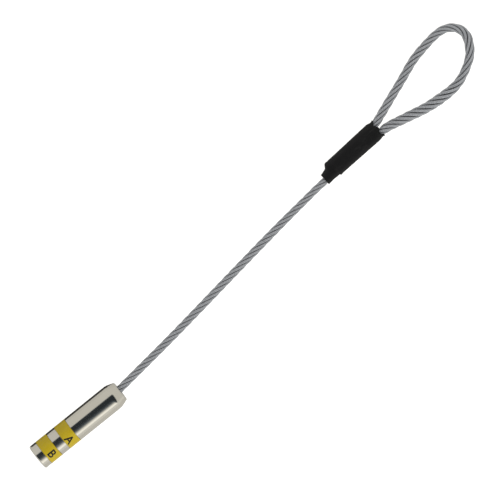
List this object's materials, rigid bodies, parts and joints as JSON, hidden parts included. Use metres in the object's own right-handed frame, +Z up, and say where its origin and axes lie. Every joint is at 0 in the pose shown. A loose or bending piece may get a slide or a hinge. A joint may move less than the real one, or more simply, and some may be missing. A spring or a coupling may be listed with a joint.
{
  "type": "wire pulling lanyard",
  "caption": "Steel head with a conductor bore and two set screws, turning on a wire rope that ends in a soft eye under heat-shrink.",
  "frame": {"origin": "on the surface the lanyard lies on, under the middle of the head", "axes": "+X along the head from its mouth to the rope, +Z up, the eye lying towards +Y"},
  "size_m": [0.4622, 0.0751, 0.0206],
  "materials": {
    "plated_steel": "bright zinc plate on turned steel, satin mirror",
    "yellow_band": "glossy printed label film",
    "black_oxide_steel": "black oxide, lightly oiled",
    "pressed_steel": "plain pressed steel",
    "galvanised_rope": "hot-dip galvanised wire, dull to satin",
    "pressed_aluminium": "pressed aluminium with die marks",
    "heat_shrink": "satin black shrunk polyolefin"
  },
  "bodies": {
    "rope_and_eye": {"wire_rope": "galvanised_rope", "rope_stop": "pressed_steel", "rope_ferrule": "pressed_aluminium", "heat_shrink_sleeve": "heat_shrink"},
    "head": {"head_body": "plated_steel", "band_a": "yellow_band", "band_b": "yellow_band"},
    "screw_a": {"set_screw_a": "black_oxide_steel"},
    "screw_b": {"set_screw_b": "black_oxide_steel"}
  },
  "joints": [
    {"name": "head_swivel", "type": "hinge", "parent": "rope_and_eye", "child": "head", "pos_m": [0.02725, 0, 0.0103], "axis": [1, 0, 0], "continuous": true},
    {"name": "screw_a_advance", "type": "slide", "parent": "head", "child": "screw_a", "axis": [0, 0.866, 0.5], "range_m": [-0.0029, 0.0016]},
    {"name": "screw_b_advance", "type": "slide", "parent": "head", "child": "screw_b", "axis": [0, 0.866, 0.5], "range_m": [-0.0029, 0.0016]}
  ]
}
